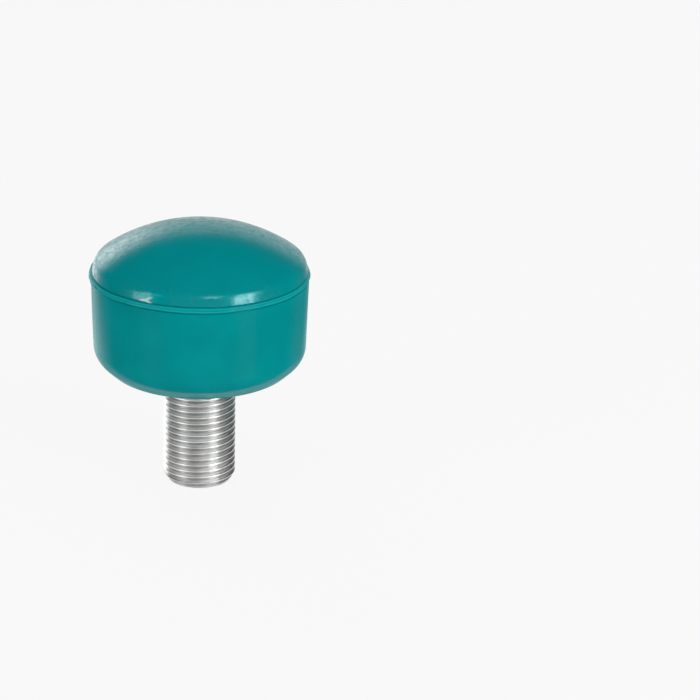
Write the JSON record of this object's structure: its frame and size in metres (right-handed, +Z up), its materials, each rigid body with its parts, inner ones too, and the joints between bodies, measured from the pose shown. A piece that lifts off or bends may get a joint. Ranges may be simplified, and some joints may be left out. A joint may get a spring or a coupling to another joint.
{
  "type": "roller skate toe stop",
  "caption": "Domed moulded rubber toe stop on a threaded steel stem; it screws into the front of a skate plate and rubs on the ground to brake or push off.",
  "frame": {"origin": "centre of the flat end face of the stem, on which the stop stands", "axes": "+Z up the stem's axis to the crown of the cushion; X and Y are equal directions across it"},
  "size_m": [0.0484, 0.0484, 0.0591],
  "materials": {
    "rubber": "satin moulded teal rubber",
    "plate_steel": "plain pressed steel, bonded inside the rubber",
    "zinc_plated_steel": "bright zinc plated, rolled thread"
  },
  "bodies": {
    "root": {"rubber_cushion": "rubber", "anchor_plate": "plate_steel", "threaded_stem": "zinc_plated_steel"}
  },
  "joints": []
}
